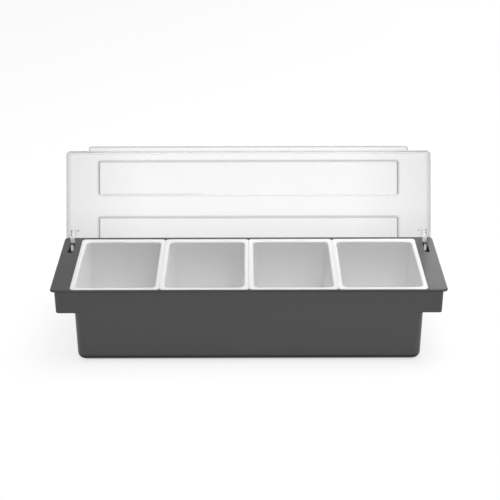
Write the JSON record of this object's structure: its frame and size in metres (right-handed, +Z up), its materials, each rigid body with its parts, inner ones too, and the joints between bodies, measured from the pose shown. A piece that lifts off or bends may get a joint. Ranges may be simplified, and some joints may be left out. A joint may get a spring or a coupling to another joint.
{
  "type": "condiment caddy with flip lid",
  "caption": "Bar condiment caddy: tray with end grips and lift-out inserts under a clear flip lid on gooseneck hinges.",
  "frame": {"origin": "middle of the underside of the tray's base, on the table", "axes": "+X along the caddy's length, to the right seen from the front; +Y to the back, where the lid is hinged; +Z up"},
  "size_m": [0.48, 0.2261, 0.2046],
  "materials": {
    "tray_abs": "fine moulded texture, dark grey",
    "insert_pp": "semi-gloss white polypropylene",
    "lid_clear": "clear moulded polycarbonate"
  },
  "bodies": {
    "tray": {"tray": "tray_abs"},
    "insert_1": {"insert_1": "insert_pp"},
    "insert_2": {"insert_2": "insert_pp"},
    "insert_3": {"insert_3": "insert_pp"},
    "insert_4": {"insert_4": "insert_pp"},
    "lid": {"lid": "lid_clear"}
  },
  "joints": [
    {"name": "lid_hinge", "type": "hinge", "parent": "tray", "child": "lid", "pos_m": [0, 0.0631, 0.083], "axis": [-1, 0, 0], "range_deg": [-114.4, 0]},
    {"name": "insert_1_lift", "type": "slide", "parent": "tray", "child": "insert_1", "axis": [0, 0, 1], "range_m": [0, 0.1]},
    {"name": "insert_2_lift", "type": "slide", "parent": "tray", "child": "insert_2", "axis": [0, 0, 1], "range_m": [0, 0.1]},
    {"name": "insert_3_lift", "type": "slide", "parent": "tray", "child": "insert_3", "axis": [0, 0, 1], "range_m": [0, 0.1]},
    {"name": "insert_4_lift", "type": "slide", "parent": "tray", "child": "insert_4", "axis": [0, 0, 1], "range_m": [0, 0.1]}
  ]
}
